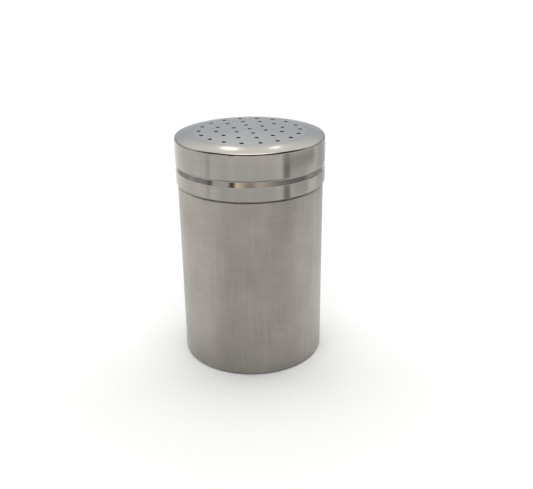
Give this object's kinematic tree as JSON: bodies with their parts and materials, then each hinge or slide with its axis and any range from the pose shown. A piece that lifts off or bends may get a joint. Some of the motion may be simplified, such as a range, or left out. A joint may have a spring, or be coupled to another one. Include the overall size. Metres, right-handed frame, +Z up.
{
  "type": "powder shaker",
  "caption": "Straight-sided steel kitchen shaker: a drawn can with a push-on perforated lid that has a ring groove in its skirt.",
  "frame": {"origin": "middle of the underside, on the surface the shaker stands on", "axes": "+Z up along the can's axis, towards the perforated top; the shape is round, so +X and +Y only fix the turn of the hole pattern"},
  "size_m": [0.07, 0.07, 0.1111],
  "materials": {
    "brushed_can": "cross-brushed satin stainless steel",
    "polished_lid": "fine-brushed bright stainless steel, satin on top"
  },
  "bodies": {
    "can": {"body_can": "brushed_can"},
    "lid": {"shaker_lid": "polished_lid"}
  },
  "joints": [
    {"name": "lid_lift", "type": "slide", "parent": "can", "child": "lid", "axis": [0, 0, 1], "range_m": [0, 0.06]}
  ]
}
